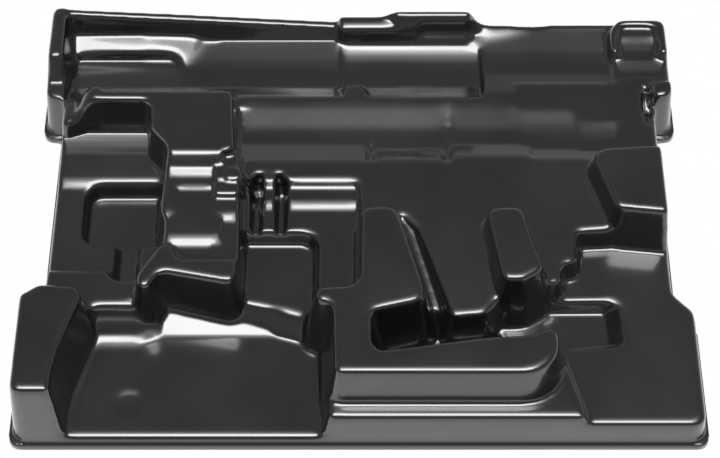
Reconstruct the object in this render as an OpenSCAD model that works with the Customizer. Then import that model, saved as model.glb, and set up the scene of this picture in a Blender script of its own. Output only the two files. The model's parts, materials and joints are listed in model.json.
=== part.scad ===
/* [Sheet] */
// thickness of the formed sheet
sheet = 1.5; // [1.2:0.1:1.8]
// height of the edge lip
lip = 4; // [3:0.5:5]
// width of the flat flange round the walls
flange = 2; // [1.5:0.5:4]
// corner radius of the flange
flange_round = 6; // [4:0.5:8]

/* [Outline] */
// half width at the front and the rear
half_wide = 186; // [180:1:195]
// half width in the middle
half_waist = 175; // [170:1:177]
// front edge of the flange
front_y = -145; // [-155:1:-143]
// rear edge of the flange
rear_y = 132; // [131:1:138]
// where the waist begins behind the front part
waist_front = -66; // [-70:1:-62]
// where the waist ends before the rear part
waist_rear = 62; // [58:1:64]

/* [Walls] */
// slope of the outer walls in degrees
outer_draft = 5; // [3:0.5:7]
// slope of the inner walls in degrees
inner_draft = 11; // [8:0.5:13]
// corner radius of the raised forms
form_round = 4; // [3:0.5:5]
// corner radius of the small forms
small_round = 2.5; // [2.2:0.1:3]

/* [Levels] */
// top of the highest pads
top_z = 50; // [48:0.5:54]
// top of the raised frame left of centre
frame_z = 44; // [43:0.5:46]
// main plateau
plateau_z = 34.5; // [34:0.5:36]
// left shelf
shelf_z = 20; // [18:0.5:22]
// step at the front of the left shelf
step_z = 26.5; // [25:0.5:28]
// right plateau
right_z = 20.5; // [19:0.5:22]
// ledge under the front bar
ledge_z = 26.5; // [25:0.5:28]
// floor of the large front pocket
floor_z = 8.5; // [8:0.5:10]
// long ridge between the rear troughs
ridge_z = 32; // [31:0.5:33]
// floor of the middle bay
bay_z = 29; // [28:0.5:30]
// floor of the handle recesses
recess_z = 12.5; // [11:0.5:13]
// bottom of the trough behind the ridge
trough_z = 25; // [24:0.5:26]
// bottom of the trough in front of the ridge
near_z = 28; // [27:0.5:28.5]

/* [Hidden] */
$fn = 16;
eps = 0.1;
far = 200;
centre_y = (front_y + rear_y) / 2;

// plan of the sheet, drawn inside the flange by a set distance
module plan(inset) {
    wide = half_wide - inset;
    waist = half_waist - inset;
    polygon([
        [-wide, front_y + inset],
        [wide, front_y + inset],
        [wide, waist_front - 7 + inset / 2],
        [wide - 2, waist_front - inset / 2],
        [waist + 1, waist_front + 9 - inset / 2],
        [waist, waist_front + 12 - inset / 2],
        [waist, waist_rear + inset - 2],
        [waist + 1, waist_rear + inset],
        [wide - 1, waist_rear + inset + 1],
        [wide, waist_rear + inset + 3],
        [wide, rear_y - inset],
        [-wide, rear_y - inset],
        [-wide, waist_rear + inset + 3],
        [-wide + 1, waist_rear + inset + 1],
        [-waist - 1, waist_rear + inset],
        [-waist, waist_rear + inset - 2],
        [-waist, waist_front + 12 - inset / 2],
        [-waist - 1, waist_front + 9 - inset / 2],
        [-wide + 2, waist_front - inset / 2],
        [-wide, waist_front - 7 + inset / 2]
    ]);
}

// raised form whose walls spread downwards; the points are its edge, at its top or at a given height
module raised(edge, top, base = 0, s = 0, r = form_round, draft = inner_draft, at = undef) {
    high = top - s - base;
    inward = is_undef(at) ? 0 : (top - at) * tan(draft);
    minkowski() {
        linear_extrude(height = eps)
            offset(delta = -r)
                polygon(edge);
        translate([0, 0, base])
            cylinder(h = high - eps, r1 = r - s - inward + high * tan(draft), r2 = r - s - inward);
    }
}

// space of a pocket whose walls open upwards; the points are its floor edge
module sunk(edge, low, mouth, s = 0, r = form_round, draft = inner_draft) {
    high = mouth - low + s;
    minkowski() {
        linear_extrude(height = eps)
            offset(delta = -r)
                polygon(edge);
        translate([0, 0, low - s])
            cylinder(h = high, r1 = r + s, r2 = r + s + high * tan(draft));
    }
}

// form with a sloping top, from a list of corner points with their heights
module sloped(tops, base, s = 0, r = small_round, draft = inner_draft) {
    hull()
        for (p = tops)
            translate([p[0], p[1], base])
                cylinder(h = p[2] - s - base, r1 = r - s + (p[2] - s - base) * tan(draft), r2 = r - s);
}

// space with a sloping floor, from a list of corner points with their heights
module scooped(lows, mouth, s = 0, r = small_round, draft = inner_draft) {
    hull()
        for (p = lows)
            translate([p[0], p[1], p[2] - s])
                cylinder(h = mouth - p[2] + s, r1 = r + s, r2 = r + s + (mouth - p[2] + s) * tan(draft));
}

// bar along x between two sections, each a list of y and height
module bar(x1, section1, x2, section2, s = 0) {
    hull() {
        translate([x1 + s, 0, 0])
            rotate([90, 0, 90])
                linear_extrude(height = eps)
                    offset(delta = -s)
                        polygon(section1);
        translate([x2 - s - eps, 0, 0])
            rotate([90, 0, 90])
                linear_extrude(height = eps)
                    offset(delta = -s)
                        polygon(section2);
    }
}

// straight run along x with one section, a list of y and height
module run(x1, x2, section, s = 0) {
    translate([x1 + s, 0, 0])
        rotate([90, 0, 90])
            linear_extrude(height = x2 - x1 - 2 * s)
                offset(delta = -s)
                    polygon(section);
}

// outer walls that bound every form above the flange
module walls(s) {
    high = top_z + 1 - lip;
    r = form_round;
    slope = high * tan(outer_draft);
    minkowski() {
        linear_extrude(height = eps)
            offset(delta = -r)
                plan(flange + slope);
        translate([0, 0, lip - 1 - s])
            cylinder(h = high + 1, r1 = r - s + slope + tan(outer_draft), r2 = r - s);
    }
}

// flat flange with its lip, solid; the inner one reaches below the rim
module rim(s) {
    translate([0, 0, -s])
        linear_extrude(height = lip)
            offset(r = flange_round - s)
                offset(delta = -flange_round)
                    plan(0);
}

// left shelf with its front step and the floor behind
module left_levels(s, b) {
    raised([[-far, -52], [-108, -52], [-108, 70], [-far, 70]], shelf_z, b, s);
    run(-far, -108, [[10, b], [10, shelf_z], [13, shelf_z], [19, shelf_z + 2], [36, shelf_z + 3],
        [43, shelf_z + 4.2], [48, shelf_z + 6.5], [52, shelf_z + 10], [52, b]], s);
    raised([[-far, -46.5], [-110, -46.5], [-110, -60], [-121, -61.5], [-126, -70.3],
        [-143.5, -70.3], [-148, -78], [-far, -78]], step_z, b, s);
    run(-150, -118, [[-66, b], [-66, step_z - 1], [-70.8, step_z - 1], [-72.4, 20], [-74.5, 15.5],
        [-78, 11.3], [-82, 9.3], [-87, floor_z], [-87, b]], s);
    sloped([[-119, -74, 13], [-119, -80, 9.5], [-112, -70, 13], [-110, -77, 9]], b, s);
}

// tall block at the left front corner
module left_front_block(s, b) {
    raised([[-far, -78.6], [-178, -77.6], [-170.6, -71.8], [-150.2, -73.3], [-147, -79.2], [-151.6, -94.5],
        [-157.1, -113.6], [-159.2, -127], [-159.2, -160], [-far, -160]], top_z, b, s, form_round, 5);
}

// upper left block with the curved slope down to the low corner
module upper_left_block(s, b) {
    raised([[-149.5, 62], [-149.5, 54.8], [-121.5, 54.8], [-118, 51.1], [-117.1, 35.1], [-108.6, 25],
        [-106.6, 18.6], [-73.1, 18.3], [-69.8, 20], [-72.5, 62]], top_z, b, s, small_round, 8);
    slope = [[-149.5, 57.6, top_z], [-152.5, 57.3, 48.8], [-155.5, 56.2, 45.5], [-158, 54.6, 41],
        [-161, 52.6, 37.5], [-167, 50.5, 35.8]];
    for (i = [0 : len(slope) - 2])
        sloped([slope[i], slope[i + 1], [slope[i][0], 63, slope[i][2]], [slope[i + 1][0], 63, slope[i + 1][2]]],
            b, s);
    raised([[-far, 48], [-166, 48], [-160, 50], [-152, 54], [-152, 66], [-far, 66]], 35.5, b, s, small_round);
}

// raised frame in front of the upper left block, stepped down towards the front
module left_frame(s, b) {
    intersection() {
        raised([[-107.7, 25], [-108.4, 2.8], [-109.3, -10.4], [-108.9, -17.9], [-106.3, -23],
            [-106.5, -39.6], [-110, -44.9], [-119.3, -61.4], [-119.6, -69.2], [-118.5, -73.3],
            [-113.9, -71], [-108.1, -60.8], [-104.3, -59.8], [-68.6, -67], [-66.6, -64], [-66.2, -46.2],
            [-67, -12.4], [-67, 25]], top_z, b, s, form_round, 9, frame_z);
        union() {
            run(-125, -76, [[26, b], [26, top_z], [17, top_z], [9.7, frame_z], [8.9, frame_z],
                [4.2, frame_z - 1.7], [-1.2, frame_z - 1.7], [-3, frame_z - 3], [-34.2, frame_z - 3],
                [-40.8, frame_z - 5.5], [-60, frame_z - 5.5], [-60, b]], s);
            run(-80, -60, [[26, b], [26, frame_z + 1], [2, frame_z + 1], [1, frame_z], [-7.6, frame_z],
                [-9.6, frame_z - 2.5], [-18.6, frame_z - 2.5], [-24.6, frame_z - 4.5],
                [-60, frame_z - 5.5], [-60, b]], s);
            raised([[-125, 8], [-101.8, 8], [-101.8, -16.5], [-105.5, -21.2], [-125, -21.2]],
                frame_z - 1.6, b, s, small_round, 12);
            raised([[-125, -40.6], [-103, -41], [-101.3, -44], [-98.5, -51.5], [-60, -51.5], [-60, -90],
                [-125, -90]], frame_z, b, s, small_round, 12);
        }
    }
    raised([[-74.5, 9], [-74.5, 1], [-65.5, 1], [-65.5, 9]], frame_z + 2, b, s, small_round, 20);
}

// middle bay with its lower pocket at the front
module middle_levels(s, b) {
    bay_section = [[14, b], [14, plateau_z - 0.5], [9.2, plateau_z - 0.5], [5.2, bay_z + 2], [-3.4, bay_z + 2],
        [-8.9, bay_z], [-20, bay_z], [-20, b]];
    raised([[-70, 20], [2, 20], [2, -72], [-22, -77], [-30.4, -74.5], [-41.3, -71.2], [-46.9, -67.9],
        [-62.2, -64.7], [-70, -64.5]], shelf_z, b, s, small_round, 36);
    raised([[-70, -64], [-70, -59], [-61, -59], [-55, -63], [-44, -63.5], [-40, -59.5], [-26, -58.5],
        [-24, -74], [-30.4, -73.5], [-41.3, -70.2], [-46.9, -66.9], [-62.2, -63.9]], shelf_z + 0.8, b, s,
        small_round, 20);
    raised([[-70, 20], [2, 20], [2, -78], [-22, -76], [-22, -31], [-24.3, -25.6], [-31, -22.8],
        [-70, -22.8]], bay_z, b, s, form_round, 20);
    run(-40, 2, bay_section, s);
    run(-54.2, -46.8, bay_section, s);
    sloped([[-63, 11, 31], [-60.5, 11, 31], [-63, -20, 30], [-60.5, -20, 30]], b, s, small_round, 20);
}

// two narrow grooves beside the round cradle
module middle_recesses(s) {
    for (x = [-57.3, -43.6])
        scooped([[x, 9, 26], [x, 4, 22], [x, -20, 22]], 36, s, small_round, 6);
}

// main plateau right of the middle bay
module main_plateau(s, b) {
    raised([[-70, 21], [-70, 11], [-59.5, 11], [-57, 14.5], [-44, 14.5], [-41, 9.5], [-2.3, 9.5],
        [0.8, 4], [1, -30], [12, -30], [24, -14.5], [27.1, -18.4], [32, -24.6], [47.3, -74.4],
        [49.7, -82.8], [68, -80.9], [77, -69], [96, -66], [101, -61.4], [108.8, -60.7], [109.8, -51],
        [113, -47.5], [117.6, -47.5], [118.9, -36], [120.1, -26.6], [140, -25.5], [140, 23],
        [52, 22.5]], plateau_z, b, s, small_round);
}

// raised pad with the long front bar and its round end
module front_bar(s, b) {
    end_x = 85.5;
    end_y = -109;
    end_r = 18.6;
    raised(concat([[-22.8, -74], [-4.8, -73.3], [1.1, -67.5], [1.6, -23.7], [4, -20.8], [18, -20.5],
        [21, -24], [34, -72], [34.8, -78], [31.7, -82.5], [8.5, -88.2], [6.3, -91.2], [6.3, -108.7],
        [10.9, -113.9], [43.3, -109], [72.6, -105], [90.4, -104.3], [96.8, -100.9], [101.1, -99.2],
        [103.7, -102.5]],
        [for (a = [0 : -15 : -90]) [end_x + end_r * cos(a), end_y + end_r * sin(a)]],
        [[-12.5, end_y - end_r], [-13.5, -88], [-16.4, -83.6], [-22.8, -82.3]]), top_z, b, s, small_round);
}

// pad standing between the plateau and the handle pocket
module short_pad(s, b) {
    raised([[70.5, -25.1], [72.7, -21.3], [87.4, -20.6], [89.9, -24.4], [95.9, -50.5], [98.9, -59],
        [97.3, -63], [88.2, -68.8], [78.3, -69.4], [76.6, -66.2]], top_z, b, s);
}

// block at the right edge behind the right plateau
module right_block(s, b) {
    raised([[131.4, 12.5], [133, 17.8], [137, 20], [166, 22.2], [190, 22.2], [190, -25], [167.7, -24.2],
        [141.3, -21.2]], top_z, b, s, form_round, 14);
}

// right plateau, the ledge in front of the bar, the handle pocket's slopes and the front ramp
module right_levels(s, b) {
    raised([[100, -160], [far, -160], [far, 10], [100, 10]], right_z, b, s);
    raised([[-16, -160], [-16, -117], [82, -117], [98, -100.5], [108.7, -100.5], [112.6, -115],
        [117.8, -133.3], [120, -160]], ledge_z, b, s);
    raised([[77, -60], [77, -80], [83, -90], [83, -112], [118, -112], [118, -60]], recess_z, b, s,
        form_round, 30);
    sloped([[18, -15, 32.2], [30, -13, 32.2], [32, -60.5, 26], [46, -71.5, 25.2]], b, s, form_round, 20);
    sloped([[-102.5, -60.5, 14.2], [-50, -60.5, 14.2], [-106.5, -76.5, floor_z], [-45, -76.5, floor_z]], b, s);
}

// pockets and recesses sunk into the levels
module recesses(s) {
    sunk([[-153, 14], [-100, 14], [-100, -24], [-153, -24]], 10.5, 30, s, 7);
    sunk([[-133, -15], [-123.5, -15], [-123.5, -49], [-133, -49]], 15, 30, s, small_round, 24);
    hull() {
        translate([0, 0, recess_z - s])
            linear_extrude(height = eps)
                offset(r = small_round + s)
                    offset(delta = -small_round)
                        polygon([[96, -67], [134, -66.5], [134.5, -88.5], [96, -92]]);
        translate([0, 0, 26])
            linear_extrude(height = eps)
                offset(r = small_round + s)
                    offset(delta = -small_round)
                        polygon([[96, -63], [142, -61], [149, -66], [151, -91], [147, -95], [96, -98]]);
    }
    translate([-123, -120.5, floor_z - 0.6 - s])
        cylinder(h = 5, r1 = 6.5 + s, r2 = 8 + s, $fn = 24);
}

// rear part: a trough on each side of the long ridge, both stepped along their length
module rear_levels(s, b) {
    run(-176, 152, [[64, b], [64, ridge_z], [69, ridge_z], [84.5, trough_z], [97, trough_z],
        [103, trough_z + 0.5], [108, trough_z + 1.5], [112, trough_z + 2.9], [115.5, trough_z + 4.8],
        [135, trough_z + 5], [135, b]], s);
    run(-176, -12, [[64, b], [64, ridge_z], [69, ridge_z], [83, trough_z + 1.6], [93, trough_z + 1.4],
        [100, trough_z + 2], [106, trough_z + 3], [111, trough_z + 4.2], [115, trough_z + 5.6],
        [119, trough_z + 8.2], [135, trough_z + 8.2], [135, b]], s);
    run(72, 152, [[64, b], [64, ridge_z], [74, ridge_z], [92, trough_z + 3], [101, trough_z + 3],
        [108, trough_z + 3.7], [115, trough_z + 4.8], [123, trough_z + 6.1], [129, trough_z + 7.4],
        [135, trough_z + 8], [135, b]], s);
    sloped([[-167, 109.5, 29], [-112, 109.5, 29], [-103, 104, 28], [-167, 118, 33.2], [-125, 118, 33.2],
        [-95, 118, 31.8]], b, s);
    sloped([[74, 119.5, 30.6], [74, 128, 34], [100, 127, 32.4]], b, s);
    raised([[-9.5, 66], [-8.5, 79], [-6, 82.2], [0.5, 82.2], [3.5, 79], [5, 72], [9, 66]],
        ridge_z - 0.5, b, s, small_round, 20);
    run(-70, 152, [[16, b], [16, plateau_z], [22.5, plateau_z], [25.5, near_z + 0.3], [38, near_z],
        [46, near_z], [52, near_z + 0.7], [58, near_z + 1.7], [63, near_z + 2.7], [67, near_z + 3.6],
        [69, ridge_z], [72, ridge_z], [72, b]], s);
    run(51.5, 152, [[34, b], [34, near_z + 0.6], [45, near_z + 0.6], [52, near_z + 1.2],
        [60, near_z + 2.6], [66, near_z + 3.5], [70, ridge_z], [70, b]], s);
    run(91.5, 152, [[34, b], [34, near_z + 1], [45, near_z + 1.2], [53, near_z + 2.2], [59, near_z + 3.3],
        [63, ridge_z], [82.5, ridge_z], [82.5, b]], s);
    run(125.5, 152, [[34, b], [34, near_z + 2], [42, near_z + 2.2], [49, near_z + 3.1], [54, ridge_z],
        [82.5, ridge_z], [82.5, b]], s);
    near_slopes = [[-70, 5, 21.5, 39.7, near_z], [8, 48, 22.8, 36.5, near_z],
        [51.5, 152, 23, 35.5, near_z + 0.8], [51.5, 97, 25.3, 39, near_z + 0.6]];
    for (p = near_slopes)
        run(p[0], p[1], [[17, b], [17, plateau_z], [p[2], plateau_z], [p[3], p[4]], [p[3], b]], s);
    raised([[149, 16], [far, 16], [far, 135], [149, 135]], ridge_z - 0.3, b, s, small_round);
}

// raised rims along the left and rear edges
module rear_rims(s, b) {
    rim_foot = [[114, b], [114, trough_z + 4], [115.3, trough_z + 5.5]];
    raised([[-far, 88], [-171.5, 88], [-172.5, 140], [-far, 140]], top_z, b, s, small_round, 9);
    sloped([[-far, 90.5, top_z], [-174, 90.5, top_z], [-far, 81.5, 36.5], [-173, 81.5, 36.5]], b, s,
        small_round, 8);
    raised([[-far, 50], [-170.5, 50], [-170.5, 84], [-far, 84]], 36, b, s, small_round, 7);
    bar(-190, [[140, b], [140, top_z], [121, top_z], [115, 24], [115, b]],
        -12, [[140, b], [140, 36.5], [121.5, 36.5], [117, 24], [117, b]], s);
    run(-12, 23, concat(rim_foot, [[116, 38.6], [117.5, 39.9], [120, 40.8], [122.5, 41], [140, 41],
        [140, b]]), s);
    run(21, 66, concat(rim_foot, [[116.5, 35], [119, 40.5], [121.5, 44.6], [123.5, 46.1], [126, 46.5],
        [140, 46.5], [140, b]]), s);
    sloped([[16, 125.5, 41], [16, 135, 41], [24, 125.5, 46.5], [24, 135, 46.5]], b, s);
    sloped([[64, 126, 44], [64, 135, 44], [72, 126, 33.5], [72, 135, 33.5]], b, s);
}

// tray at the right rear corner with the peg in front of it
module rear_corner(s, b) {
    difference() {
        raised([[148.5, 100], [148.5, 118], [154, 126], [far, 126], [far, 100]], 38.5, b, s, form_round, 14);
        scooped([[157.5, 94, 35], [170.5, 94, 35], [157.5, 117, 35.3], [170.5, 117, 35.3]], 42, s,
            form_round, 30);
    }
    sloped([[155, 104, 35], [178, 104, 35], [153, 99.5, 31.6], [178, 99.5, 31.6]], b, s, form_round, 14);
    raised([[169.5, 67.5], [169.2, 79.8], [far, 79.8], [far, 67.5]], 38, b, s, small_round, 8);
}

// pockets of the rear part
module rear_recesses(s) {
    scooped([[-164.5, 102.5, 24.8], [-111, 102.5, 24.8], [-106.5, 98, 25.2], [-164.5, 84, 26.8],
        [-108, 84, 26.8]], 31, s, small_round, 25);
    scooped([[167.6, 60, 22], [167.6, 77, 22]], 42, s, 1.6, 5);
}

// hollow in the rear rim for a finger
module rim_recess(s) {
    scooped([[38, 116.5, 33.2], [64, 116.5, 33.2], [38, 111, 31.2], [64, 111, 31.2]], 50, s, small_round, 8);
}

// everything above the flange before the walls bound it
module forms(s) {
    b = s > 0 ? -1 : 0;
    difference() {
        union() {
            translate([-far, -far, b])
                cube([2 * far, 2 * far, floor_z - s - b]);
            left_levels(s, b);
            right_levels(s, b);
            rear_levels(s, b);
            main_plateau(s, b);
        }
        recesses(s);
        rear_recesses(s);
    }
    difference() {
        middle_levels(s, b);
        middle_recesses(s);
    }
    difference() {
        rear_rims(s, b);
        rim_recess(s);
    }
    upper_left_block(s, b);
    left_frame(s, b);
    rear_corner(s, b);
    left_front_block(s, b);
    front_bar(s, b);
    short_pad(s, b);
    right_block(s, b);
}

// one side of the sheet as a solid
module skin(s) {
    intersection() {
        walls(s);
        forms(s);
    }
    rim(s);
}

// the formed sheet
module case_insert() {
    color("black")
        translate([0, -centre_y, 0])
            difference() {
                skin(0);
                skin(sheet);
            }
}

case_insert();
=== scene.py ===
"""Blender scene of a thermoformed black tool case insert.

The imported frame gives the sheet's solid. The scene rounds it as a warm
sheet rounds over its mould, gives it its thickness again, dresses it as
black high-impact polystyrene and lights it in a plain pale studio.
"""

import json
import logging
import math
from collections.abc import Callable
from dataclasses import dataclass, field
from enum import Enum
from typing import Any

import bpy
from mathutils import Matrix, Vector

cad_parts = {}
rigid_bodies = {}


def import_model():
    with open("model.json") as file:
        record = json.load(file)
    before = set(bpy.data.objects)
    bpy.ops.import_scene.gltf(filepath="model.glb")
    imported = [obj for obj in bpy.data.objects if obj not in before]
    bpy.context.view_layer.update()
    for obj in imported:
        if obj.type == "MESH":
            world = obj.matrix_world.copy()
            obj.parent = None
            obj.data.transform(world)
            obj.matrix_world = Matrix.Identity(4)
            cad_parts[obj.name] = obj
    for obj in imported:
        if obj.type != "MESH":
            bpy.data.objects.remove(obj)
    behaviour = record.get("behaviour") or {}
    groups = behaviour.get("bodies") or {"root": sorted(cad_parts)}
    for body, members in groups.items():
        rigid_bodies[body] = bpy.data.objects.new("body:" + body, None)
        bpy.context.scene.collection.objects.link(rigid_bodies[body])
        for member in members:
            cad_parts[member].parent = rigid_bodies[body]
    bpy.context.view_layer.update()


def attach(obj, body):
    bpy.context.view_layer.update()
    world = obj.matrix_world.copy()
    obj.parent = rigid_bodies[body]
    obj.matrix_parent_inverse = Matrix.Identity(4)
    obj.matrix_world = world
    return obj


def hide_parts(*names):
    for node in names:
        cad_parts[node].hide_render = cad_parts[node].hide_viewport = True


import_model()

LOG = logging.getLogger("case_insert")
MM = 0.001

# places of the colour sockets on a mix node, whose names repeat
MIX_FIRST_COLOUR = 6
MIX_SECOND_COLOUR = 7
MIX_COLOUR_RESULT = 2


class Ray(Enum):
    """Kinds of ray that see the plain white background."""

    CAMERA = "Is Camera Ray"
    GLOSSY = "Is Glossy Ray"
    TRANSMISSION = "Is Transmission Ray"


def linear(colour: str) -> tuple[float, float, float, float]:
    """Turn an sRGB hex colour into linear values.

    Args:
        colour: six hex digits after a hash sign.

    Returns:
        Red, green, blue and an alpha of one.
    """
    values = []
    for start in (1, 3, 5):
        part = int(colour[start : start + 2], 16) / 255
        values.append(part / 12.92 if part <= 0.04045 else ((part + 0.055) / 1.055) ** 2.4)
    return (values[0], values[1], values[2], 1.0)


def add_node(
    tree: bpy.types.NodeTree,
    kind: str,
    settings: dict[str, Any] | None = None,
    values: dict[str, Any] | None = None,
    links: dict[str, bpy.types.NodeSocket] | None = None,
) -> bpy.types.Node:
    """Add one node with its settings, socket values and incoming links.

    Args:
        tree: the node tree that takes the node.
        kind: the node's type name.
        settings: attributes of the node.
        values: default values by input name.
        links: output sockets to link, by input name.

    Returns:
        The new node.
    """
    node = tree.nodes.new(kind)
    for name, value in (settings or {}).items():
        setattr(node, name, value)
    for name, value in (values or {}).items():
        node.inputs[name].default_value = value
    for name, socket in (links or {}).items():
        tree.links.new(socket, node.inputs[name])
    return node


def choose(obj: bpy.types.Object) -> None:
    """Make one object the only selected and active one."""
    bpy.ops.object.select_all(action="DESELECT")
    obj.select_set(True)
    bpy.context.view_layer.objects.active = obj


def apply_modifier(obj: bpy.types.Object, kind: str, settings: dict[str, Any]) -> None:
    """Add a modifier with its settings and apply it at once.

    Args:
        obj: the object to change.
        kind: the modifier's type name.
        settings: attributes of the modifier.
    """
    choose(obj)
    modifier = obj.modifiers.new(kind.title(), kind)
    for name, value in settings.items():
        setattr(modifier, name, value)
    bpy.ops.object.modifier_apply(modifier=modifier.name)


@dataclass(frozen=True)
class PolystyreneSheet:
    """Black high-impact polystyrene, vacuum formed and left as it came.

    The sheet is dyed right through, so it is black with no colour of its
    own. A clear gloss cap lies over it, which gives crisp lights along the
    edges, and the duller sheet below gives each light its soft border. The
    body is duller where the warm sheet stretched, with a faint ripple and a
    fine grain, which is drawn coarser than the real one so that it shows.
    """

    name: str = "vacuum formed black polystyrene"
    colour: str = "#131313"
    stretched_colour: str = "#161616"
    ior: float = 1.59
    cap_weight: float = 1.0
    cap_ior: float = 1.62
    cap_roughness: float = 0.12
    roughness: float = 0.22
    stretched_roughness: float = 0.34
    patch_mm: float = 60.0
    patch_detail: float = 3.0
    patch_low: float = 0.3
    patch_high: float = 0.7
    ripple_mm: float = 14.0
    ripple_detail: float = 1.0
    ripple_depth_mm: float = 0.02
    grain_mm: float = 0.9
    grain_detail: float = 2.0
    grain_depth_mm: float = 0.007

    def material(self) -> bpy.types.Material:
        """Build the sheet's material.

        Returns:
            The node material.
        """
        made = bpy.data.materials.new(self.name)
        made.use_nodes = True
        tree = made.node_tree
        shader = tree.nodes["Principled BSDF"]
        shader.inputs["IOR"].default_value = self.ior
        shader.inputs["Coat Weight"].default_value = self.cap_weight
        shader.inputs["Coat IOR"].default_value = self.cap_ior
        shader.inputs["Coat Roughness"].default_value = self.cap_roughness
        place = add_node(tree, "ShaderNodeTexCoord").outputs["Object"]
        patches = add_node(
            tree,
            "ShaderNodeTexNoise",
            values={"Scale": 1 / (self.patch_mm * MM), "Detail": self.patch_detail},
            links={"Vector": place},
        ).outputs["Fac"]
        tone = add_node(
            tree,
            "ShaderNodeMix",
            settings={"data_type": "RGBA"},
            links={"Factor": patches},
        )
        tone.inputs[MIX_FIRST_COLOUR].default_value = linear(self.colour)
        tone.inputs[MIX_SECOND_COLOUR].default_value = linear(self.stretched_colour)
        tree.links.new(tone.outputs[MIX_COLOUR_RESULT], shader.inputs["Base Color"])
        gloss = add_node(
            tree,
            "ShaderNodeMapRange",
            values={
                "From Min": self.patch_low,
                "From Max": self.patch_high,
                "To Min": self.roughness,
                "To Max": self.stretched_roughness,
            },
            links={"Value": patches},
        )
        tree.links.new(gloss.outputs["Result"], shader.inputs["Roughness"])
        ripple = add_node(
            tree,
            "ShaderNodeTexNoise",
            values={"Scale": 1 / (self.ripple_mm * MM), "Detail": self.ripple_detail},
            links={"Vector": place},
        ).outputs["Fac"]
        wave = add_node(
            tree,
            "ShaderNodeBump",
            values={"Strength": 1.0, "Distance": self.ripple_depth_mm * MM},
            links={"Height": ripple},
        ).outputs["Normal"]
        grain = add_node(
            tree,
            "ShaderNodeTexNoise",
            values={"Scale": 1 / (self.grain_mm * MM), "Detail": self.grain_detail},
            links={"Vector": place},
        ).outputs["Fac"]
        surface = add_node(
            tree,
            "ShaderNodeBump",
            values={"Strength": 1.0, "Distance": self.grain_depth_mm * MM},
            links={"Height": grain, "Normal": wave},
        ).outputs["Normal"]
        tree.links.new(surface, shader.inputs["Normal"])
        tree.links.new(wave, shader.inputs["Coat Normal"])
        return made


@dataclass(frozen=True)
class RoundingZone:
    """Box of the sheet, in millimetres, that is rounded in its own measure.

    A soft zone gets its own smoothing passes on top of the main ones. A fine
    zone has no passes, and only holds the main ones back.
    """

    name: str
    low: tuple[float, float, float]
    high: tuple[float, float, float]
    passes: int = 0
    fade: float = 4.0

    def share(self, place: Vector) -> float:
        """Tell how far a place lies inside the box.

        Args:
            place: a vertex's place, in metres.

        Returns:
            One inside, falling to zero over the fade outside.
        """
        x, y, z = place.x / MM, place.y / MM, place.z / MM
        outside = max(self.low[0] - x, x - self.high[0])
        if outside >= self.fade:
            return 0.0
        outside = max(outside, self.low[1] - y, y - self.high[1], self.low[2] - z, z - self.high[2])
        return min(1.0, max(0.0, 1.0 - outside / self.fade))


@dataclass(frozen=True)
class PressedRun:
    """Stretch along X whose section the mould sets, in millimetres.

    The section is a row of places along Y, each with its height. The fade is
    how far the stretch still works past its ends, and the reach is how far
    off its new height a place may be.
    """

    name: str
    x_low: float
    x_high: float
    section: tuple[tuple[float, float], ...]
    fade: float = 5.0
    reach: float = 2.5

    def height(self, place: Vector) -> float:
        """Tell the height that a place gets.

        Args:
            place: a vertex's place, in metres.

        Returns:
            The new height in metres, or the old one outside the stretch.
        """
        x, y, z = place.x / MM, place.y / MM, place.z / MM
        share = min(1.0, 1.0 - max(self.x_low - x, x - self.x_high) / self.fade)
        if share <= 0:
            return place.z
        for (y_low, low), (y_high, high) in zip(self.section, self.section[1:]):
            if y_low <= y <= y_high:
                target = low + (high - low) * (y - y_low) / (y_high - y_low)
                if abs(target - z) < self.reach:
                    return (z + (target - z) * share) * MM
        return place.z


PRESSED_RUNS = (
    PressedRun(
        "front_trough_slope",
        -62.0,
        46.0,
        ((48.5, 28.0), (54.5, 28.1), (57.0, 28.4), (70.0, 30.85), (75.5, 31.55), (78.0, 31.7)),
    ),
    PressedRun(
        "front_trough_slope_right",
        55.0,
        87.0,
        ((48.5, 28.6), (54.5, 28.7), (57.0, 29.0), (70.0, 31.0), (75.5, 31.6), (78.0, 31.8)),
    ),
    PressedRun(
        "groove_between_sections",
        51.3,
        51.3,
        ((31.0, 30.5), (41.5, 26.4), (57.0, 26.6), (70.0, 29.4), (76.0, 30.6)),
        fade=2.4,
    ),
    PressedRun(
        "groove_by_the_slope",
        6.5,
        6.5,
        ((31.0, 30.5), (41.5, 26.2), (46.0, 27.6)),
        fade=2.2,
    ),
    PressedRun(
        "rear_trough_slope",
        -90.0,
        -15.0,
        ((96.5, 26.4), (103.5, 26.6), (109.5, 27.3), (116.5, 28.4), (122.5, 29.4), (124.0, 29.7)),
        fade=8.0,
    ),
    PressedRun(
        "left_pocket_slope",
        -170.0,
        -119.0,
        ((25.5, 22.0), (42.5, 23.0), (48.5, 24.0), (53.5, 25.0), (57.0, 25.9)),
        fade=2.0,
        reach=4.5,
    ),
    PressedRun(
        "corner_tray_lip",
        150.5,
        177.5,
        (
            (93.0, 31.1),
            (96.0, 31.2),
            (105.0, 32.7),
            (107.5, 33.0),
            (109.0, 32.6),
            (112.0, 33.1),
            (120.0, 34.4),
        ),
        fade=2.0,
        reach=3.2,
    ),
    PressedRun(
        "peg_notch_floor",
        167.0,
        167.8,
        ((58.0, 31.0), (62.0, 28.5), (77.0, 28.5), (84.0, 31.0)),
        fade=1.6,
        reach=12.0,
    ),
)

FINE_ZONES = (
    RoundingZone("cradle_ribs", (-64, -15, 18), (-38, 20, 36)),
    RoundingZone("column_steps", (-80, -22, 34), (-58, 22, 50)),
    RoundingZone("notch_by_the_ramp", (98, -60, 12), (132, -36, 36)),
)

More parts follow.
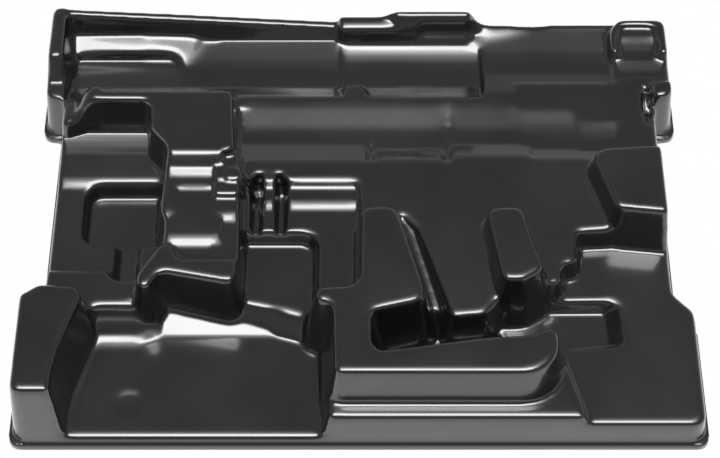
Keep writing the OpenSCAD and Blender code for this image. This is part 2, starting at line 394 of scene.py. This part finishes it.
SOFT_ZONES = (
    RoundingZone("crest_before_front_trough", (-58, 50, 26), (140, 78, 34), 40, fade=3.0),
    RoundingZone("corner_tray", (150, 90, 30), (178, 124, 42), 16),
    RoundingZone("peg_notch", (162, 64, 18), (172, 86, 40), 30),
    RoundingZone("rear_rims", (-176, 116, 34), (72, 136, 52), 12),
    RoundingZone("rear_slope_wedge", (66, 120, 26), (110, 136, 38), 60),
    RoundingZone("rear_recess_end", (-125, 95, 24), (-85, 126, 36), 40),
    RoundingZone("front_edges", (-186, -142, 44), (110, -116, 52), 14),
    RoundingZone("large_pocket", (-160, -140, 11), (-10, -50, 24), 20),
)


@dataclass
class FormedSheet:
    """The insert itself, one sheet drawn over a mould.

    The rounding works on an even mesh of grid-sized faces. All of it gets
    the round passes, fine zones and the flange a share of them. Each edge
    round then finds the places that stand out by more than the edge bulge,
    in millimetres, and gives them the edge passes.
    """

    node: str = "case_insert"
    piece_name: str = "formed_sheet"
    body: str = "root"
    slot: str = "sheet"
    merge_distance: float = 0.002 * MM
    underside_gap: float = 0.01 * MM
    downward: float = -0.9
    skirt: float = 12 * MM
    grid: float = 1.0 * MM
    weight_steps: int = 20
    pass_strength: float = 0.5
    round_passes: int = 9
    fine_share: float = 0.5
    flange_top: float = 5.0 * MM
    flange_share: float = 0.1
    edge_rounds: int = 3
    edge_passes: int = 13
    edge_bulge: float = 0.006
    thickness: float = 1.4 * MM
    triangles: int = 190000
    finish: PolystyreneSheet = field(default_factory=PolystyreneSheet)

    def copy_solid(self) -> bpy.types.Object:
        """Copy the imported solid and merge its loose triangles.

        Returns:
            The copy, with a mesh of its own.
        """
        source = bpy.data.objects[self.node]
        copy = source.copy()
        copy.data = source.data.copy()
        copy.name = self.piece_name
        copy.data.name = self.piece_name
        copy.data.materials.clear()
        bpy.context.scene.collection.objects.link(copy)
        choose(copy)
        bpy.ops.object.mode_set(mode="EDIT")
        bpy.ops.mesh.select_all(action="SELECT")
        bpy.ops.mesh.remove_doubles(threshold=self.merge_distance)
        bpy.ops.object.mode_set(mode="OBJECT")
        return copy

    def keep_upper_skin(self, piece: bpy.types.Object) -> None:
        """Delete the underside, and close the upper skin with a deep skirt.

        Args:
            piece: the merged copy of the solid.
        """
        mesh = piece.data
        floor = min(vertex.co.z for vertex in mesh.vertices)
        choose(piece)
        bpy.ops.object.mode_set(mode="EDIT")
        bpy.ops.mesh.select_mode(type="FACE")
        bpy.ops.mesh.select_all(action="DESELECT")
        bpy.ops.object.mode_set(mode="OBJECT")
        for face in mesh.polygons:
            at_floor = face.center.z < floor + self.underside_gap
            face.select = at_floor and face.normal.z < self.downward
        bpy.ops.object.mode_set(mode="EDIT")
        bpy.ops.mesh.delete(type="FACE")
        bpy.ops.mesh.select_mode(type="VERT")
        bpy.ops.mesh.select_all(action="DESELECT")
        bpy.ops.object.mode_set(mode="OBJECT")
        outermost = min(range(len(mesh.vertices)), key=lambda i: mesh.vertices[i].co.x)
        mesh.vertices[outermost].select = True
        bpy.ops.object.mode_set(mode="EDIT")
        bpy.ops.mesh.select_linked()
        bpy.ops.mesh.select_all(action="INVERT")
        bpy.ops.mesh.delete(type="VERT")
        bpy.ops.mesh.select_all(action="DESELECT")
        bpy.ops.mesh.select_non_manifold()
        bpy.ops.mesh.extrude_region_move(TRANSFORM_OT_translate={"value": (0, 0, -self.skirt)})
        bpy.ops.mesh.edge_face_add()
        bpy.ops.mesh.select_all(action="SELECT")
        bpy.ops.mesh.normals_make_consistent(inside=False)
        bpy.ops.object.mode_set(mode="OBJECT")

    def group_by(self, piece: bpy.types.Object, name: str, share: Callable[[Vector], float]) -> None:
        """Fill a vertex group with each vertex's share.

        Args:
            piece: the object whose vertices are weighed.
            name: the group's name.
            share: gives a weight from 0 to 1 for a place.
        """
        group = piece.vertex_groups.new(name=name)
        levels: dict[int, list[int]] = {}
        for vertex in piece.data.vertices:
            level = round(share(vertex.co) * self.weight_steps)
            if level:
                levels.setdefault(level, []).append(vertex.index)
        for level, members in levels.items():
            group.add(members, level / self.weight_steps, "REPLACE")

    def round_edges(self, piece: bpy.types.Object) -> None:
        """Round every edge and corner as a drawn sheet rounds them.

        Args:
            piece: the closed upper skin with its skirt.
        """
        apply_modifier(piece, "REMESH", {"mode": "VOXEL", "voxel_size": self.grid, "adaptivity": 0.0})
        self.group_by(piece, "walls", self.wall_share)
        self.press(piece)
        self.smooth(piece, "walls", self.round_passes)
        for turn in range(self.edge_rounds):
            self.round_outer_edges(piece, f"outer_edges_{turn}")
        for zone in SOFT_ZONES:
            self.group_by(piece, zone.name, zone.share)
            self.smooth(piece, zone.name, zone.passes)

    def round_outer_edges(self, piece: bpy.types.Object, name: str) -> None:
        """Round the edges that stand out more than those the mould pressed in.

        Args:
            piece: the object to shape.
            name: the vertex group's name.
        """
        mesh = piece.data
        pulls = [Vector() for _ in mesh.vertices]
        counts = [0] * len(mesh.vertices)
        for edge in mesh.edges:
            first, second = edge.vertices
            step = mesh.vertices[second].co - mesh.vertices[first].co
            pulls[first] += step
            pulls[second] -= step
            counts[first] += 1
            counts[second] += 1
        group = piece.vertex_groups.new(name=name)
        for vertex, pull, count in zip(mesh.vertices, pulls, counts):
            bulge = -pull.dot(vertex.normal) / max(count, 1) / MM
            weight = min(1.0, (bulge - self.edge_bulge) / self.edge_bulge)
            if weight > 0:
                group.add([vertex.index], weight * self.wall_share(vertex.co), "REPLACE")
        self.smooth(piece, name, self.edge_passes)

    def wall_share(self, place: Vector) -> float:
        """Tell how strongly a place is rounded in the main passes.

        Args:
            place: a vertex's place, in metres.

        Returns:
            A share from 0 to 1, low at the flange and round fine forms.
        """
        if place.z < self.flange_top:
            return self.flange_share
        fine = max(zone.share(place) for zone in FINE_ZONES)
        return 1.0 - fine * (1.0 - self.fine_share)

    def press(self, piece: bpy.types.Object) -> None:
        """Press the stretches whose section the mould sets.

        Args:
            piece: the object to shape.
        """
        for stretch in PRESSED_RUNS:
            for vertex in piece.data.vertices:
                vertex.co.z = stretch.height(vertex.co)
            LOG.info("pressed %s", stretch.name)

    def smooth(self, piece: bpy.types.Object, group: str, passes: int) -> None:
        """Smooth the members of one vertex group.

        Args:
            piece: the object to smooth.
            group: the vertex group that limits the smoothing.
            passes: how often each vertex moves towards its neighbours.
        """
        apply_modifier(
            piece,
            "SMOOTH",
            {"factor": self.pass_strength, "iterations": passes, "vertex_group": group},
        )

    def trim(self, piece: bpy.types.Object) -> None:
        """Cut the skirt off level with the bottom of the lip.

        Args:
            piece: the rounded solid.
        """
        choose(piece)
        bpy.ops.object.mode_set(mode="EDIT")
        bpy.ops.mesh.select_all(action="SELECT")
        bpy.ops.mesh.bisect(plane_co=(0, 0, 0), plane_no=(0, 0, 1), clear_inner=True)
        bpy.ops.object.mode_set(mode="OBJECT")

    def thicken(self, piece: bpy.types.Object) -> None:
        """Thin the mesh to its budget and give the sheet its thickness.

        Args:
            piece: the trimmed upper skin.
        """
        piece.data.calc_loop_triangles()
        now = len(piece.data.loop_triangles)
        skins = 2
        share = min(1.0, self.triangles / skins / now)
        apply_modifier(piece, "DECIMATE", {"decimate_type": "COLLAPSE", "ratio": share})
        apply_modifier(piece, "SOLIDIFY", {"thickness": self.thickness, "offset": -1.0, "use_rim": True})

    def build(self) -> bpy.types.Object:
        """Returns:
            The finished piece.
        """
        piece = self.copy_solid()
        self.keep_upper_skin(piece)
        self.round_edges(piece)
        self.trim(piece)
        self.thicken(piece)
        choose(piece)
        bpy.ops.object.shade_smooth()
        piece.data.materials.append(self.finish.material())
        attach(piece, self.body)
        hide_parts(self.node)
        return piece


@dataclass
class Softbox:
    """Rectangular studio lamp, in metres, that hangs over the front of the insert."""

    name: str = "overhead_softbox"
    place: tuple[float, float, float] = (0.0, -0.5, 3.0)
    target: tuple[float, float, float] = (0.0, -0.5, 0.0)
    width: float = 2.0
    depth: float = 1.2
    watts: float = 40.0

    def build(self) -> None:
        """Add the lamp, turned to its target."""
        bpy.ops.object.light_add(type="AREA", location=self.place)
        lamp = bpy.context.object
        lamp.name = self.name
        lamp.data.shape = "RECTANGLE"
        lamp.data.size = self.width
        lamp.data.size_y = self.depth
        lamp.data.energy = self.watts
        aim = Vector(self.target) - Vector(self.place)
        lamp.rotation_euler = aim.to_track_quat("-Z", "Y").to_euler()


@dataclass
class Studio:
    """Pale floor, softbox, world and camera.

    The camera's place is in metres, its tilt in degrees, its lens and sensor
    in millimetres. Horizon and zenith are upward parts of a direction, and
    the behind and beside values are parts of it along Y. The halo's stops
    are angles from the zenith in degrees, along Y for its pitch and along X
    for its sides, and its falloff is the power of its fading.
    """

    camera_place: tuple[float, float, float] = (0.53 * MM, -679.4 * MM, 943.8 * MM)
    camera_tilt: float = 36.0
    lens: float = 101.94
    sensor: float = 36.0
    far_clip: float = 100.0
    floor_colour: str = "#C4C4C4"
    floor_roughness: float = 0.9
    floor_size: float = 12.0
    horizon: float = 0.1
    horizon_glow: float = 0.38
    zenith: float = 0.8
    zenith_glow: float = 0.16
    behind_camera: float = -0.5
    behind_camera_glow: float = 0.8
    beside: float = 0.0
    beside_glow: float = 1.0
    halo_glow: float = 4.5
    halo_pitch: tuple[float, float, float, float] = (-32.0, -21.0, -1.0, 28.0)
    halo_sides: tuple[float, float, float, float] = (-30.0, -15.0, 15.0, 30.0)
    halo_falloff: float = 2.0
    softbox: Softbox = field(default_factory=Softbox)

    def floor(self) -> None:
        """Add the pale floor that shows white around the object and takes its shadow."""
        bpy.ops.mesh.primitive_plane_add(size=self.floor_size, location=(0, 0, 0))
        made = bpy.context.object
        made.name = "studio_floor"
        paint = bpy.data.materials.new("matt white studio floor")
        paint.use_nodes = True
        tree = paint.node_tree
        shader = tree.nodes["Principled BSDF"]
        shader.inputs["Base Color"].default_value = linear(self.floor_colour)
        shader.inputs["Roughness"].default_value = self.floor_roughness
        path = add_node(tree, "ShaderNodeLightPath")
        seen = path.outputs[Ray.CAMERA.value]
        for ray in (Ray.GLOSSY, Ray.TRANSMISSION):
            either = add_node(tree, "ShaderNodeMath", settings={"operation": "MAXIMUM"})
            tree.links.new(seen, either.inputs[0])
            tree.links.new(path.outputs[ray.value], either.inputs[1])
            seen = either.outputs["Value"]
        glow = add_node(tree, "ShaderNodeEmission", values={"Color": (1, 1, 1, 1), "Strength": 1.0})
        mixed = add_node(tree, "ShaderNodeMixShader", links={"Fac": seen})
        tree.links.new(shader.outputs["BSDF"], mixed.inputs[1])
        tree.links.new(glow.outputs["Emission"], mixed.inputs[2])
        tree.links.new(mixed.outputs["Shader"], tree.nodes["Material Output"].inputs["Surface"])
        made.data.materials.append(paint)

    def world(self) -> None:
        """Give the room a pale far side, a dim ceiling and the softbox's soft halo."""
        room = bpy.data.worlds.new("studio room")
        bpy.context.scene.world = room
        room.use_nodes = True
        tree = room.node_tree
        tree.nodes.clear()
        place = add_node(tree, "ShaderNodeTexCoord").outputs["Generated"]
        parts = add_node(tree, "ShaderNodeSeparateXYZ", links={"Vector": place})
        ramp = add_node(tree, "ShaderNodeValToRGB", links={"Fac": parts.outputs["Z"]})
        stops = ((self.horizon, self.horizon_glow), (self.zenith, self.zenith_glow))
        for element, (height, tone) in zip(ramp.color_ramp.elements, stops):
            element.position = height
            element.color = (tone, tone, tone, 1.0)
        side = add_node(
            tree,
            "ShaderNodeMapRange",
            values={
                "From Min": self.behind_camera,
                "From Max": self.beside,
                "To Min": self.behind_camera_glow,
                "To Max": self.beside_glow,
            },
            links={"Value": parts.outputs["Y"]},
        )
        walls = add_node(
            tree,
            "ShaderNodeBackground",
            links={"Color": ramp.outputs["Color"], "Strength": side.outputs["Result"]},
        )
        along = self.halo_share(tree, parts, "Y", self.halo_pitch)
        across = self.halo_share(tree, parts, "X", self.halo_sides)
        both = add_node(tree, "ShaderNodeMath", settings={"operation": "MULTIPLY"})
        tree.links.new(along, both.inputs[0])
        tree.links.new(across, both.inputs[1])
        power = add_node(tree, "ShaderNodeMath", settings={"operation": "MULTIPLY"})
        tree.links.new(both.outputs["Value"], power.inputs[0])
        power.inputs[1].default_value = self.halo_glow
        halo = add_node(
            tree,
            "ShaderNodeBackground",
            values={"Color": (1, 1, 1, 1)},
            links={"Strength": power.outputs["Value"]},
        )
        sky = add_node(tree, "ShaderNodeAddShader")
        tree.links.new(walls.outputs["Background"], sky.inputs[0])
        tree.links.new(halo.outputs["Background"], sky.inputs[1])
        output = add_node(tree, "ShaderNodeOutputWorld")
        tree.links.new(sky.outputs["Shader"], output.inputs["Surface"])

    def halo_share(
        self,
        tree: bpy.types.NodeTree,
        parts: bpy.types.Node,
        axis: str,
        stops: tuple[float, float, float, float],
    ) -> bpy.types.NodeSocket:
        """Fade the halo out by its angle from the zenith towards one axis.

        Args:
            tree: the world's node tree.
            parts: the split view direction.
            axis: the axis that the angle leans towards.
            stops: angles in degrees at which the halo starts, is full,
                begins to fade and ends.

        Returns:
            The socket with the share, from 0 to 1.
        """
        lean = add_node(tree, "ShaderNodeMath", settings={"operation": "ARCTAN2"})
        tree.links.new(parts.outputs[axis], lean.inputs[0])
        tree.links.new(parts.outputs["Z"], lean.inputs[1])
        start, full, fade, end = (math.radians(stop) for stop in stops)
        rise = add_node(
            tree,
            "ShaderNodeMapRange",
            values={"From Min": start, "From Max": full},
            links={"Value": lean.outputs["Value"]},
        )
        fall = add_node(
            tree,
            "ShaderNodeMapRange",
            values={"From Min": end, "From Max": fade},
            links={"Value": lean.outputs["Value"]},
        )
        share = add_node(tree, "ShaderNodeMath", settings={"operation": "MULTIPLY"})
        tree.links.new(rise.outputs["Result"], share.inputs[0])
        tree.links.new(fall.outputs["Result"], share.inputs[1])
        soft = add_node(tree, "ShaderNodeMath", settings={"operation": "POWER"})
        tree.links.new(share.outputs["Value"], soft.inputs[0])
        soft.inputs[1].default_value = self.halo_falloff
        return soft.outputs["Value"]

    def camera(self) -> None:
        """Add the camera at the photograph's place."""
        bpy.ops.object.camera_add(
            location=self.camera_place, rotation=(math.radians(self.camera_tilt), 0, 0)
        )
        made = bpy.context.object
        made.data.sensor_width = self.sensor
        made.data.lens = self.lens
        made.data.clip_end = self.far_clip
        bpy.context.scene.camera = made

    def build(self) -> None:
        """Build the whole studio."""
        self.floor()
        self.world()
        self.softbox.build()
        self.camera()
        bpy.context.scene.view_settings.view_transform = "Standard"


def main() -> None:
    """Build the sheet and the studio, and note the sizes."""
    logging.basicConfig(level=logging.INFO, format="%(name)s: %(message)s")
    piece = FormedSheet().build()
    piece.data.calc_loop_triangles()
    LOG.info("%s: %d triangles", piece.name, len(piece.data.loop_triangles))
    Studio().build()


if __name__ == "__main__":
    main()
